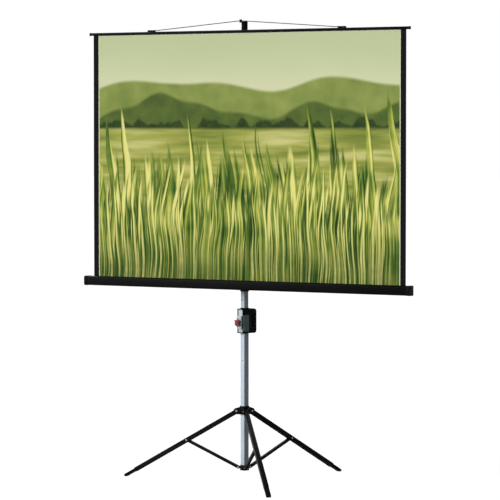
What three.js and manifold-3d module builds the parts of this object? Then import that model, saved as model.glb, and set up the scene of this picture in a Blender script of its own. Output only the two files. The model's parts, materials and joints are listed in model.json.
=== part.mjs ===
// A portable projection screen on a folding tripod, in millimetres, +Z up, the picture facing -Y.
// Origin on the floor, under the middle of the whole object.
import * as THREE from "three";
import { mergeVertices } from "three/addons/utils/BufferGeometryUtils.js";
import Module from "manifold-3d";

const wasm = await Module();
wasm.setup();

// Clearances that every piece shares
const fit = 0.3; // between pieces that touch
const slide = 0.3; // between tubes that slide in each other
const degree = Math.PI / 180;

// Mast: three square steel tubes, each inside the last
const mastSide = 30;
const mastWall = 0.8;
const tubeCorner = 2.5;
const ringSeat = 5; // how far the mast stops short of the handle's top
const upperWall = 0.8;
const upperSide = mastSide - 2 * mastWall - 2 * slide;
const upperLength = 640;
const upperProud = 15; // above the bush
const extensionWall = 0.8;
const extensionPlay = 2.4; // the glide and the plug fill it
const extensionSide = upperSide - 2 * upperWall - 2 * extensionPlay;
const extensionLength = 1330;
const holeRadius = 3;
const mastHoleHeight = 604;
const upperHoleDrop = 44; // from the bush down to the top hole
const upperHolePitch = 100;
const upperHoles = 5;
const glideThickness = 4;
const plugLength = 18;

// The screen is turned on the mast, and hangs a little off its centre
const screenTurn = 18.5 * degree;
const screenOffset = 38;

// Tripod: collar on the mast, three legs, and three struts down to a fixed hub
const legAngle = 60 * degree;
const collarPivotRadius = 38;
const collarPivotHeight = 351;
const collarRise = 26;
const collarWall = 4;
const earThickness = 3;
const earRadius = 16;
const earGap = 0.4;
const legWidth = 22;
const legDepth = 22;
const legWall = 1.5;
const footReach = 76; // from the leg's end to the floor, along the leg
const legTopEnd = 6;
const strutPivotAlongLeg = 310;
const hubPivotRadius = 32;
const hubPivotHeight = 69.5;
const hubDrop = 14.5;
const hubRise = 12.5;
const hubFloor = 4.7;
const hubWall = 2.5;
const tongueRadius = 5;
const tongueGap = 0.4;
const strutWidth = 14;
const strutDepth = 14;
const strutWall = 1.5;
const strutWebSetback = 16;
const strutEnd = 5.5;
const rivetRadius = 2.5;
const rivetHeadRadius = 4.4;
const rivetHead = 1.5;
const footWidth = 22;
const footDepth = 16;
const footOverrun = 4; // what the floor saves of that reach
const footPlug = 30;
const foldedStrutGap = 2; // between the foot's plug and the strut of a folded leg

// Handle at the head of the mast, with its release lever
const handleBottom = 741;
const handleHeight = 122;
const handleWidth = 42;
const handleFront = 30;
const handleBack = 60;
const rimDepth = 6.5; // how deep the front shell lies behind the handle's rim
const gripCorner = 14;
const fingerGapFront = 20;
const gripDepth = 17;
const fingerGapRise = 23;
const fingerGapHeight = 76;
const fingerGapCorner = 10;
const rimWidth = 3.5;
const shellThickness = 3;
const shellCorner = 6;
const bossThickness = 11;
const bossRise = 24;
const bossHeight = 63;
const leverPocketMargin = 5;
const leverPocketFloor = 7.7;
const leverWidth = 29;
const leverAxisDepth = 9.7; // in front of the shell's flat face
const leverAxisRise = 50;
const leverDrop = 15;
const leverRise = 18;
const leverReach = 20;
const leverPinRadius = 1.5;
const latchDrop = 10; // from the lever's axis to the latch
const latchRadius = 3.5;
const latchBore = 6;
const springWall = 1.4;
const sideCoverThickness = 1.5;
const sideCoverFront = 27;
const sideCoverBack = 10;
const sideCoverRise = 9;
const sideCoverHeight = 82;
const screwRadius = 1.6;
const screwHeadRadius = 3;
const screwLength = 7;
const screwInset = 9;
const ringFlange = 33;
const ringThickness = 4;

// Case: a long shell that turns on a bracket in front of the mast
const caseHeight = 47;
const caseDepth = 44;
const caseWall = 2;
const caseBottom = 960;
const caseBack = 54;
const caseFrontCorner = 9;
const caseBackCorner = 4;
const slotWidth = 6;
const capLength = 18;
const capProud = 1;
const capBossRadius = 9;
const capBoss = 12;
const bushWall = 1.5;
const bushFlange = 2;
const bushFlangeHeight = 7;
const bracketWall = 4;
const bracketHeight = 53;
const bracketPlateThickness = 6;
const bracketPlateWidth = 52;
const bracketCheek = 5;
const bracketCheekGap = 26;
const swivelPlateThickness = 3;
const swivelPlateWidth = 84;
const swivelPlateHeight = 36;
const boltRadius = 5;
const boltHeadRadius = 8.5;
const boltHead = 5;
const nutRadius = 7.5;
const nutThickness = 3.6;
const washerThickness = 1.5;
const retainerThickness = 4;

// Roller inside the case
const rollerRadius = 13;
const rollerWall = 2;
const rollerEndGap = 3;
const rollerOverhang = 5; // of the roller past the cloth
const rollerPlugLength = 24;
const rollerPinRadius = 4;
const springRodRadius = 3;
const springRodLength = 640;
const rollerSpringRadius = 8;
const rollerSpringLength = 560;
const woundThickness = 1;

// Cloth and top bar
const clothWidth = 1800;
const clothThickness = 0.8;
const barBottom = 2231;
const barHeight = 14;
const barDepth = 13;
const barOverhang = 16; // of the bar past the cloth
const barSlotDepth = 9;
const barSlotClearance = 0.5;
const barCapLength = 5;
const barCapProud = 1;
const clipSpacing = 1096;
const clipLength = 44;
const clipHeight = 8;
const clipWidth = 9;
const bailRadius = 2;
const bailRise = 46;
const bailPeakHalf = 12;
const hookHeight = 44;
const hookSocket = 11; // how far the tube stands in the cap
const hookWall = 1.4;
const hookCorner = 5;
const hookReach = 27;
const hookWidth = 15;
const hookThickness = 6;
const hookTipHeight = 10;
const hookTipThickness = 4;

// Places that follow from the sizes
const handleTop = handleBottom + handleHeight;
const fingerGapBack = handleBack - gripDepth;
const fingerGapBottom = handleBottom + fingerGapRise;
const fingerGapTop = fingerGapBottom + fingerGapHeight;
const bossBottom = handleBottom + bossRise;
const bossTop = bossBottom + bossHeight;
const leverAxisHeight = handleBottom + leverAxisRise;
const leverBottom = leverAxisHeight - leverDrop;
const leverTip = leverAxisHeight + leverRise;
const latchHeight = leverAxisHeight - latchDrop;
const sideCoverBottom = handleBottom + sideCoverRise;
const sideCoverTop = sideCoverBottom + sideCoverHeight;
const hubBottom = hubPivotHeight - hubDrop;
const hubTop = hubPivotHeight + hubRise;
const mastBottom = hubBottom + hubFloor + fit;
const mastTop = handleTop - ringSeat;
const collarBottom = collarPivotHeight - earRadius;
const collarTop = collarPivotHeight + collarRise;
const legLength = collarPivotHeight / Math.cos(legAngle) - footReach;
const footLength = footReach - footOverrun;
const shellBed = handleFront - rimDepth;
const shellFront = shellBed + fit + shellThickness;
const bossFront = shellFront + bossThickness;
const rollerHalf = clothWidth / 2 + rollerOverhang;
const caseHalf = rollerHalf + rollerEndGap + capBoss + capLength;
const caseLength = 2 * caseHalf;
const barHalf = clothWidth / 2 + barOverhang;
const rollerCentreZ = caseBottom + caseHeight / 2;
const caseCentreY = -(caseBack + caseDepth / 2);
const clothBack = caseCentreY + rollerRadius + woundThickness + 3 * fit;
const clothCentreY = clothBack + clothThickness / 2;
const caseTop = caseBottom + caseHeight;
const bodyLength = caseLength - 2 * capLength - 2 * fit;
const strutPivotRadius = collarPivotRadius + strutPivotAlongLeg * Math.sin(legAngle);
const strutPivotHeight = collarPivotHeight - strutPivotAlongLeg * Math.cos(legAngle);
const strutRise = strutPivotHeight - hubPivotHeight;
const strutRun = strutPivotRadius - hubPivotRadius;
const strutLength = Math.hypot(strutRise, strutRun);
const strutAngle = Math.atan2(strutRun, strutRise);
const bushInside = upperSide + 2 * fit;
const bushRadius = (bushInside / 2) * Math.SQRT2 - tubeCorner * (Math.SQRT2 - 1) + bushWall;
const bracketBottom = rollerCentreZ - bracketHeight / 2;
const bracketTop = rollerCentreZ + bracketHeight / 2;
const bushBottom = bracketBottom - fit - bushFlangeHeight;
const bushTop = bracketTop + retainerThickness + 2 * fit;
const upperTop = bushTop + upperProud;
const upperBottom = upperTop - upperLength;
const upperHoleHeight = bushBottom - upperHoleDrop;
const barTop = barBottom + barHeight;
const bailPeak = barTop + bailRise;
const hookTop = bailPeak - bailRadius - fit;
const extensionTop = hookTop - hookHeight + hookSocket;
const extensionBottom = extensionTop - extensionLength;

// Finishes
const finish = (color, roughness, metalness = 0) =>
  new THREE.MeshStandardMaterial({ color, roughness, metalness });
const paintedSteel = finish(0x8d99a8, 0.4, 0.5);
const greySteel = finish(0x9aa3ad, 0.35, 0.7);
const blackPlastic = finish(0x1b1c1e, 0.55);
const blackMetal = finish(0x18191b, 0.35, 0.3);
const greyPlastic = finish(0x93a8ab, 0.5);
const darkGreyPlastic = finish(0x3c464b, 0.5);
const redPlastic = finish(0x9c2b3b, 0.4);
const zinc = finish(0xb4b8bb, 0.3, 0.9);
const rubber = finish(0x202122, 0.8);
const clothWhite = finish(0xb9c49a, 0.9);

// Turns a closed three.js geometry into a solid that can be joined and cut
function solidOf(geometry) {
  const bare = geometry.clone();
  bare.deleteAttribute("normal");
  bare.deleteAttribute("uv");
  const merged = mergeVertices(bare, 1e-4);
  const triVerts = new Uint32Array(merged.index.array);
  const vertProperties = new Float32Array(merged.attributes.position.array);
  return new wasm.Manifold(new wasm.Mesh({ numProp: 3, vertProperties, triVerts }));
}

function geometryOf(solid) {
  const mesh = solid.getMesh();
  const geometry = new THREE.BufferGeometry();
  geometry.setAttribute("position", new THREE.BufferAttribute(mesh.vertProperties, 3));
  geometry.setIndex(new THREE.BufferAttribute(mesh.triVerts, 1));
  geometry.computeVertexNormals();
  return geometry;
}

const joined = (first, ...rest) =>
  geometryOf(rest.reduce((solid, next) => solid.add(solidOf(next)), solidOf(first)));
const cutBy = (first, ...tools) =>
  geometryOf(tools.reduce((solid, tool) => solid.subtract(solidOf(tool)), solidOf(first)));

// A rectangle with a radius for each corner, from the low corner round against the clock
function roundedRect(x0, y0, x1, y1, r0, r1 = r0, r2 = r0, r3 = r0) {
  const shape = new THREE.Shape();
  shape.absarc(x0 + r0, y0 + r0, r0, Math.PI, 1.5 * Math.PI);
  shape.absarc(x1 - r1, y0 + r1, r1, -0.5 * Math.PI, 0);
  shape.absarc(x1 - r2, y1 - r2, r2, 0, 0.5 * Math.PI);
  shape.absarc(x0 + r3, y1 - r3, r3, 0.5 * Math.PI, Math.PI);
  shape.closePath();
  return shape;
}

const squareShape = (side, corner) =>
  roundedRect(-side / 2, -side / 2, side / 2, side / 2, corner);

function circleShape(x, y, radius) {
  const shape = new THREE.Shape();
  shape.absarc(x, y, radius, 0, 2 * Math.PI);
  return shape;
}

// Extrusions along each axis; a shape's own axes are (x, y), (y, z) or (z, x)
function alongZ(shape, from, to, detail = 2) {
  const options = { depth: to - from, bevelEnabled: false, curveSegments: detail };
  return new THREE.ExtrudeGeometry(shape, options).translate(0, 0, from);
}
const axisX = new THREE.Vector3(1, 0, 0);
const axisY = new THREE.Vector3(0, 1, 0);
const axisZ = new THREE.Vector3(0, 0, 1);
const turnedToX = new THREE.Matrix4().makeBasis(axisY, axisZ, axisX);
const turnedToY = new THREE.Matrix4().makeBasis(axisZ, axisX, axisY);
const alongX = (shape, from, to, detail) => alongZ(shape, from, to, detail).applyMatrix4(turnedToX);
const alongY = (shape, from, to, detail) => alongZ(shape, from, to, detail).applyMatrix4(turnedToY);

function box(x0, x1, y0, y1, z0, z1) {
  return new THREE.BoxGeometry(x1 - x0, y1 - y0, z1 - z0).translate(
    (x0 + x1) / 2,
    (y0 + y1) / 2,
    (z0 + z1) / 2,
  );
}

const rodX = (y, z, radius, from, to, detail = 8) =>
  alongX(circleShape(y, z, radius), from, to, detail);
const rodY = (x, z, radius, from, to, detail = 8) =>
  alongY(circleShape(z, x, radius), from, to, detail);

function squareTube(side, wall, from, to) {
  const shape = squareShape(side, tubeCorner);
  shape.holes.push(squareShape(side - 2 * wall, Math.max(tubeCorner - wall, 0.5)));
  return alongZ(shape, from, to);
}

function piece(group, name, geometry, material) {
  const mesh = new THREE.Mesh(geometry, material);
  mesh.name = name;
  group.add(mesh);
  return mesh;
}

const model = new THREE.Group();
const stand = new THREE.Group();
const screen = new THREE.Group();
stand.rotation.z = -screenTurn;
screen.position.x = screenOffset;
model.add(stand, screen);

// Mast tube, with the hole of a lower height stop and the window of the latch
const mastBlank = squareTube(mastSide, mastWall, mastBottom, mastTop);
const mastStopHole = rodY(0, mastHoleHeight, holeRadius, -mastSide, 0);
const latchWindow = rodY(0, latchHeight, latchRadius + fit, -mastSide, 0);
piece(stand, "mast_tube", cutBy(mastBlank, mastStopHole, latchWindow), paintedSteel);

const ringShape = squareShape(mastSide, tubeCorner);
const ringHole = squareShape(upperSide + 2 * slide, tubeCorner);
ringShape.holes.push(ringHole);
const flangeShape = squareShape(ringFlange, tubeCorner + 2);
flangeShape.holes.push(ringHole);
const ringNeck = alongZ(ringShape, mastTop + fit, handleTop + fit + 0.1);
const ringTop = alongZ(flangeShape, handleTop + fit, handleTop + fit + ringThickness);
piece(stand, "mast_top_ring", joined(ringNeck, ringTop), blackPlastic);

// Upper tube, which slides in the mast and carries the case
let upperGeometry = squareTube(upperSide, upperWall, upperBottom, upperTop);
for (let i = 0; i < upperHoles; i++) {
  const height = upperHoleHeight - i * upperHolePitch;
  upperGeometry = cutBy(upperGeometry, rodY(0, height, holeRadius, -upperSide, 0));
}
piece(stand, "upper_tube", upperGeometry, paintedSteel);

const upperInside = upperSide - 2 * upperWall;
const glideShape = squareShape(upperSide + 0.2, tubeCorner);
glideShape.holes.push(squareShape(extensionSide + 2 * slide, tubeCorner - 1));
const glide = alongZ(glideShape, upperBottom - fit - glideThickness, upperBottom - fit);
piece(stand, "upper_tube_glide", glide, blackPlastic);

const collarShape = squareShape(upperSide + 4, tubeCorner + 1);
collarShape.holes.push(squareShape(extensionSide + 2 * slide, tubeCorner - 1));
const upperRing = alongZ(collarShape, upperTop + fit, upperTop + fit + 2 * glideThickness);
piece(stand, "upper_tube_ring", upperRing, blackPlastic);

// Extension tube with its plug and the hook that the bail hangs on
const extension = squareTube(extensionSide, extensionWall, extensionBottom, extensionTop);
piece(stand, "extension_tube", extension, greySteel);
const extensionInside = extensionSide - 2 * extensionWall;
const plugBody = alongZ(
  squareShape(extensionInside - 2 * fit, 1.5),
  extensionBottom - fit - 0.1,
  extensionBottom + plugLength,
);
const plugHead = alongZ(
  squareShape(upperInside - 2 * slide, tubeCorner - 1),
  extensionBottom - fit - glideThickness,
  extensionBottom - fit,
);
piece(stand, "extension_plug", joined(plugBody, plugHead), blackPlastic);

const hookInside = extensionSide / 2 + fit;
const hookOutside = hookInside + hookWall;
const hookArmBottom = hookTop - hookThickness;
const hookBlock = alongZ(squareShape(2 * hookOutside, hookCorner), hookTop - hookHeight, hookTop);
const hookBore = alongZ(
  squareShape(2 * hookInside, tubeCorner),
  hookTop - 2 * hookHeight,
  extensionTop + fit,
);
const hookHalf = hookWidth / 2;
const hookArm = box(-hookHalf, hookHalf, -hookReach, 0, hookArmBottom, hookTop);
const hookTipShape = roundedRect(
  -hookReach,
  hookArmBottom,
  -hookReach + hookTipThickness,
  hookTop + hookTipHeight,
  1.5,
);
const hookTip = alongX(hookTipShape, -hookHalf, hookHalf);
piece(stand, "hook_cap", joined(cutBy(hookBlock, hookBore), hookArm, hookTip), blackPlastic);

// Handle body: a block round the mast with a grip behind it, and room for the fingers between
const handleShape = roundedRect(
  -handleFront,
  handleBottom,
  handleBack,
  handleTop,
  2,
  gripCorner,
  gripCorner,
  2,
);
handleShape.holes.push(
  roundedRect(fingerGapFront, fingerGapBottom, fingerGapBack, fingerGapTop, fingerGapCorner),
);
const handleBlank = alongX(handleShape, -handleWidth / 2, handleWidth / 2, 3);
const mastBore = alongZ(squareShape(mastSide + 2 * fit, tubeCorner), handleBottom - 1, handleTop + 1);
const latchChamber = rodY(0, latchHeight, latchBore, -handleFront - 1, 0);
const shellShape = (gap, half) =>
  roundedRect(
    handleBottom + rimWidth + gap,
    -half,
    handleTop - rimWidth - gap,
    half,
    shellCorner - gap,
  );
const shellRecess = alongY(
  shellShape(0, handleWidth / 2 - rimWidth),
  -handleFront - 1,
  -shellBed,
);
const screwHeights = [handleBottom + screwInset, handleTop - screwInset];
const screwHoles = screwHeights.map((z) =>
  rodY(0, z, screwRadius + fit, -handleFront - 1, -shellBed + screwLength, 5),
);
piece(
  stand,
  "handle_body",
  cutBy(handleBlank, mastBore, shellRecess, latchChamber, ...screwHoles),
  blackPlastic,
);

// Front shell inside the rim, with a raised boss that holds the release lever
const shellHalf = handleWidth / 2 - rimWidth - fit;
const shellPlate = alongY(shellShape(fit, shellHalf), -shellFront, -shellBed - fit);
const shellBoss = alongY(
  roundedRect(bossBottom, -shellHalf, bossTop, shellHalf, shellCorner),
  -bossFront,
  -shellFront + 1,
);
const leverHalf = leverWidth / 2;
const pocketHalf = leverHalf + 0.6;
const pocketFloorY = -(shellBed + fit + leverPocketFloor);
const leverPocket = box(
  -pocketHalf,
  pocketHalf,
  -bossFront - 1,
  pocketFloorY,
  leverBottom - leverPocketMargin,
  leverTip + leverPocketMargin,
);
const leverAxisY = -(shellFront + leverAxisDepth);
const pinBore = rodX(leverAxisY, leverAxisHeight, leverPinRadius + fit, -shellHalf - 1, shellHalf + 1, 5);
const latchPassage = rodY(0, latchHeight, latchRadius + fit, -bossFront, -shellBed + 1);
const shellScrewHoles = screwHeights.map((z) =>
  rodY(0, z, screwRadius + fit, -shellFront - 1, -shellBed + 1, 5),
);
const shellScrewSinks = screwHeights.map((z) =>
  rodY(0, z, screwHeadRadius + fit, -shellFront - 1, -shellFront + 2, 6),
);
piece(
  stand,
  "front_shell",
  cutBy(
    joined(shellPlate, shellBoss),
    leverPocket,
    pinBore,
    latchPassage,
    ...shellScrewHoles,
    ...shellScrewSinks,
  ),
  greyPlastic,
);

screwHeights.forEach((z, i) => {
  const head = rodY(0, z, screwHeadRadius, -shellFront + 0.3, -shellFront + 1.7, 6);
  const shank = rodY(0, z, screwRadius, -shellFront + 1, -shellBed + screwLength - 2, 5);
  piece(stand, "shell_screw_" + (i + 1), joined(head, shank), zinc);
});

// Dark panels let onto the sides of the handle
for (const [side, name] of [
  [-1, "left"],
  [1, "right"],
]) {
  const inner = side * (handleWidth / 2 + fit);
  const outer = side * (handleWidth / 2 + fit + sideCoverThickness);
  const shape = roundedRect(-sideCoverFront, sideCoverBottom, sideCoverBack, sideCoverTop, 3);
  const cover = alongX(shape, Math.min(inner, outer), Math.max(inner, outer));
  piece(stand, "side_cover_" + name, cover, darkGreyPlastic);
}

// Release lever: a rocker on a pin; pressing its top draws the latch forward
const leverBack = leverAxisY + 2.4;
const leverFront = -(bossFront + leverReach);
const leverShape = new THREE.Shape();
leverShape.moveTo(leverBack, leverBottom);
leverShape.lineTo(leverBack, leverAxisHeight + 2);
leverShape.lineTo(leverAxisY - 1.5, leverTip - 2);
leverShape.lineTo(leverFront + 3, leverTip);
leverShape.quadraticCurveTo(leverFront, leverTip, leverFront, leverTip - 3);
leverShape.quadraticCurveTo(leverFront + 7, leverTip - 5, leverFront + 5, leverAxisHeight + 3);
leverShape.quadraticCurveTo(leverFront + 3, leverBottom, leverBack - 4, leverBottom);
leverShape.closePath();
const leverBlank = alongX(leverShape, -leverHalf, leverHalf, 5);
const leverPinHole = rodX(leverAxisY, leverAxisHeight, leverPinRadius + fit, -leverWidth, leverWidth, 5);
piece(stand, "release_lever", cutBy(leverBlank, leverPinHole), redPlastic);
const leverPin = rodX(leverAxisY, leverAxisHeight, leverPinRadius, 0.6 - shellHalf, shellHalf - 0.6, 5);
piece(stand, "lever_pin", leverPin, zinc);

// Latch pin, with its spring in the handle; its nose bears on the upper tube between two holes
const latchNose = -(upperSide / 2 + fit);
const latchTail = leverBack + 0.9;
const latchPin = rodY(0, latchHeight, latchRadius, latchTail, latchNose);
piece(stand, "latch_pin", latchPin, zinc);
const springShape = circleShape(latchHeight, 0, latchBore - fit);
springShape.holes.push(circleShape(latchHeight, 0, latchBore - fit - springWall));
const latchSpring = alongY(springShape, -shellBed + fit, -(mastSide / 2 + 2 * fit), 8);
piece(stand, "latch_spring", latchSpring, zinc);

// Lower hub: a cup that closes the mast, with a tongue for each strut
const hubInside = mastSide + 2 * fit;
const hubBlock = alongZ(squareShape(hubInside + 2 * hubWall, 6), hubBottom, hubTop, 3);
const hubPocket = alongZ(squareShape(hubInside, tubeCorner), mastBottom - fit, hubTop + 1);
const tongueHalf = strutWidth / 2 - strutWall - tongueGap;
const hubAngles = [90, 210, 330].map((angle) => angle * degree);
const tongueRoot = hubInside / 2 + hubWall / 2;
const tongues = hubAngles.map((angle) => {
  const shape = new THREE.Shape();
  shape.moveTo(hubPivotHeight - tongueRadius, tongueRoot);
  shape.lineTo(hubPivotHeight + tongueRadius, tongueRoot);
  shape.absarc(hubPivotHeight, hubPivotRadius, tongueRadius, 0, Math.PI);
  shape.closePath();
  const blank = alongY(shape, -tongueHalf, tongueHalf, 6);
  const bore = rodY(hubPivotRadius, hubPivotHeight, rivetRadius + fit, -strutWidth, strutWidth, 6);
  return cutBy(blank, bore).rotateZ(angle);
});
piece(stand, "lower_hub", cutBy(joined(hubBlock, ...tongues), hubPocket), blackPlastic);

// Leg collar: a sliding sleeve with a pair of ears for each leg
const collarInside = mastSide + 2 * slide;
const collarSleeve = cutBy(
  alongZ(squareShape(collarInside + 2 * collarWall, 6), collarBottom, collarTop, 3),
  alongZ(squareShape(collarInside, tubeCorner), collarBottom - 1, collarTop + 1),
);
const earInner = legWidth / 2 + earGap;
const ears = hubAngles.flatMap((angle) =>
  [-1, 1].map((side) => {
    const shape = new THREE.Shape();
    shape.moveTo(collarPivotHeight - earRadius, collarInside / 2 + 1);
    shape.lineTo(collarPivotHeight + earRadius + 6, collarInside / 2 + 1);
    shape.lineTo(collarPivotHeight + earRadius + 6, collarInside / 2 + collarWall);
    shape.absarc(collarPivotHeight, collarPivotRadius, earRadius, 0, Math.PI);
    shape.closePath();
    const inner = side * earInner;
    const outer = side * (earInner + earThickness);
    const plate = alongY(shape, Math.min(inner, outer), Math.max(inner, outer), 6);
    const knobFrom = side > 0 ? outer - 0.5 : outer - rivetHead;
    const knob = rodY(
      collarPivotRadius,
      collarPivotHeight,
      rivetHeadRadius,
      knobFrom,
      knobFrom + rivetHead + 0.5,
      6,
    );
    return joined(plate, knob).rotateZ(angle);
  }),
);
const earBase = collarInside / 2 + collarWall / 2;
const earRoots = hubAngles.map((angle) =>
  cutBy(
    box(0, earBase + 2.5, -earInner - earThickness, earInner + earThickness, collarBottom, collarTop - 6),
    box(
      -mastSide,
      mastSide / 2 + slide,
      -2 * mastSide,
      2 * mastSide,
      collarBottom - 1,
      collarTop + 1,
    ),
  ).rotateZ(angle),
);
const collarBore = alongZ(squareShape(collarInside, tubeCorner), collarBottom - 1, collarTop + 1);
const collarSolid = cutBy(joined(collarSleeve, ...earRoots, ...ears), collarBore);
piece(stand, "leg_collar", collarSolid, blackPlastic);

// A channel from z0 to z1: two side walls and a web on the side that webSide names
function channel(width, depth, wall, z0, z1, webFrom, webTo, webSide) {
  const half = width / 2;
  const deep = depth / 2;
  const webOuter = webSide * deep;
  const webInner = webSide * (deep - wall);
  return joined(
    box(-deep, deep, -half, -half + wall, z0, z1),
    box(-deep, deep, half - wall, half, z0, z1),
    box(
      Math.min(webOuter, webInner),
      Math.max(webOuter, webInner),
      -half,
      half,
      webFrom,
      webTo,
    ),
  );
}

// Legs, feet and struts, each in its own turned group whose local X points outwards
hubAngles.forEach((angle, i) => {
  const arm = new THREE.Group();
  arm.rotation.z = angle;
  stand.add(arm);
  const number = i + 1;
  const placeLeg = (geometry) =>
    geometry.rotateY(-legAngle).translate(collarPivotRadius, 0, collarPivotHeight);

  const legBlank = channel(
    legWidth,
    legDepth,
    legWall,
    -legLength,
    legTopEnd,
    -legLength,
    legTopEnd,
    1,
  );
  const collarHole = rodY(0, 0, rivetRadius + fit, -legWidth, legWidth, 6);
  const strutHole = rodY(0, -strutPivotAlongLeg, rivetRadius + fit, -legWidth, legWidth, 6);
  piece(arm, "leg_" + number, placeLeg(cutBy(legBlank, collarHole, strutHole)), blackMetal);

  const plugHalf = legWidth / 2 - legWall - fit;
  const plugInner = hubPivotRadius + strutDepth / 2 + foldedStrutGap - collarPivotRadius;
  const plug = box(
    plugInner,
    legDepth / 2 - legWall - fit,
    -plugHalf,
    plugHalf,
    -legLength - 1,
    -legLength + footPlug,
  );
  const bootShape = roundedRect(
    -footDepth / 2,
    -legLength - footLength,
    footDepth / 2,
    -legLength - fit,
    6,
    6,
    0.5,
    0.5,
  );
  const boot = alongZ(bootShape, -footWidth / 2, footWidth / 2, 3).rotateX(Math.PI / 2);
  const collarLip = box(
    -legDepth / 2,
    legDepth / 2,
    -legWidth / 2,
    legWidth / 2,
    -legLength - fit - 4,
    -legLength - fit,
  );
  const floor = box(-caseLength, caseLength, -caseLength, caseLength, -legLength, 0);
  piece(arm, "foot_" + number, cutBy(placeLeg(joined(plug, boot, collarLip)), floor), rubber);

  const strutBlank = channel(
    strutWidth,
    strutDepth,
    strutWall,
    -strutEnd,
    strutLength + strutEnd,
    strutWebSetback,
    strutLength + strutEnd - 2,
    -1,
  );
  const hubHole = rodY(0, 0, rivetRadius + fit, -strutWidth, strutWidth, 6);
  const legHole = rodY(0, strutLength, rivetRadius + fit, -strutWidth, strutWidth, 6);
  const strut = cutBy(strutBlank, hubHole, legHole)
    .rotateY(strutAngle)
    .translate(hubPivotRadius, 0, hubPivotHeight);
  piece(arm, "strut_" + number, strut, blackMetal);

  const rivet = (radius, height, halfWidth) => {
    const reach = halfWidth + fit;
    return joined(
      rodY(radius, height, rivetRadius, -reach - 0.5, reach + 0.5, 6),
      rodY(radius, height, rivetHeadRadius, reach, reach + rivetHead, 6),
      rodY(radius, height, rivetHeadRadius, -reach - rivetHead, -reach, 6),
    );
  };
  piece(arm, "hub_rivet_" + number, rivet(hubPivotRadius, hubPivotHeight, strutWidth / 2), zinc);
  piece(arm, "leg_rivet_" + number, rivet(strutPivotRadius, strutPivotHeight, legWidth / 2), zinc);
});

// Bush on the upper tube, which the bracket turns on, and the ring that keeps the bracket there
const bushCore = new THREE.Shape();
bushCore.absarc(0, 0, bushRadius, 0, 2 * Math.PI);
bushCore.holes.push(squareShape(bushInside, tubeCorner));
const bushRim = new THREE.Shape();
bushRim.absarc(0, 0, bushRadius + bushFlange, 0, 2 * Math.PI);
bushRim.holes.push(squareShape(bushInside, tubeCorner));
const bush = joined(
  alongZ(bushCore, bushBottom, bushTop, 12),
  alongZ(bushRim, bushBottom, bushBottom + bushFlangeHeight, 12),
);
piece(stand, "bracket_bush", bush, blackPlastic);
const retainerShape = circleShape(0, 0, bushRadius + bushFlange + 1);
retainerShape.holes.push(circleShape(0, 0, bushRadius + fit));
const retainer = alongZ(retainerShape, bracketTop + fit, bracketTop + fit + retainerThickness, 12);
piece(stand, "bracket_retainer", retainer, blackPlastic);

// Bracket: a sleeve, two cheeks and the plate that the case turns on. Its axis is the mast's
const bracketGroup = new THREE.Group();
bracketGroup.position.x = -screenOffset;
screen.add(bracketGroup);
const sleeveInside = bushRadius + fit;
const sleeveOutside = sleeveInside + bracketWall;
const plateBack = -(caseBack - swivelPlateThickness - 2 * fit - bracketPlateThickness);
const plateFront = plateBack - bracketPlateThickness;
const plateHalf = bracketPlateWidth / 2;
const cheekOuter = bracketCheekGap / 2 + bracketCheek;
const sleeveShape = circleShape(0, 0, sleeveOutside);
const plateShape = roundedRect(bracketBottom, -plateHalf, bracketTop, plateHalf, 8);
const bracketBlank = joined(
  alongZ(sleeveShape, bracketBottom, bracketTop, 12),
  alongY(plateShape, plateFront, plateBack, 3),
  box(-cheekOuter, -bracketCheekGap / 2, plateBack - 1, 0, bracketBottom, bracketTop),
  box(bracketCheekGap / 2, cheekOuter, plateBack - 1, 0, bracketBottom, bracketTop),
);
const bracketGeometry = cutBy(
  bracketBlank,
  alongZ(circleShape(0, 0, sleeveInside), bracketBottom - 1, bracketTop + 1, 12),
  rodY(0, rollerCentreZ, boltRadius + fit, plateFront - 1, plateBack + 1),
);
piece(bracketGroup, "case_bracket", bracketGeometry, blackMetal);

// Swivel plate on the case's back, and the bolt, washer and nut that hold the two together
const swivelBack = plateFront - fit;
const swivelFront = swivelBack - swivelPlateThickness;
const swivelHalf = swivelPlateWidth / 2;
const swivelShape = roundedRect(
  rollerCentreZ - swivelPlateHeight / 2,
  -swivelHalf,
  rollerCentreZ + swivelPlateHeight / 2,
  swivelHalf,
  6,
);
const swivelBore = rodY(0, rollerCentreZ, boltRadius + fit, swivelFront - 1, swivelBack + 1);
const swivelPlate = cutBy(alongY(swivelShape, swivelFront, swivelBack, 3), swivelBore);
piece(bracketGroup, "swivel_plate", swivelPlate, zinc);
const nutBack = -(caseBack + caseWall + fit);
const nutFront = nutBack - nutThickness;
const headFront = plateBack + 2 * fit + washerThickness;
const bolt = joined(
  rodY(0, rollerCentreZ, boltRadius, nutFront, headFront + 0.5),
  rodY(0, rollerCentreZ, boltHeadRadius, headFront, headFront + boltHead, 3),
);
piece(bracketGroup, "swivel_bolt", bolt, zinc);
const washerShape = circleShape(rollerCentreZ, 0, boltHeadRadius + 1.5);
washerShape.holes.push(circleShape(rollerCentreZ, 0, boltRadius + fit));
const washer = alongY(washerShape, plateBack + fit, plateBack + fit + washerThickness, 8);
piece(bracketGroup, "swivel_washer", washer, zinc);
const nut = cutBy(
  rodY(0, rollerCentreZ, nutRadius, nutFront, nutBack, 3),
  rodY(0, rollerCentreZ, boltRadius + fit, nutFront - 1, nutBack + 1),
);
piece(bracketGroup, "swivel_nut", nut, zinc);

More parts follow.
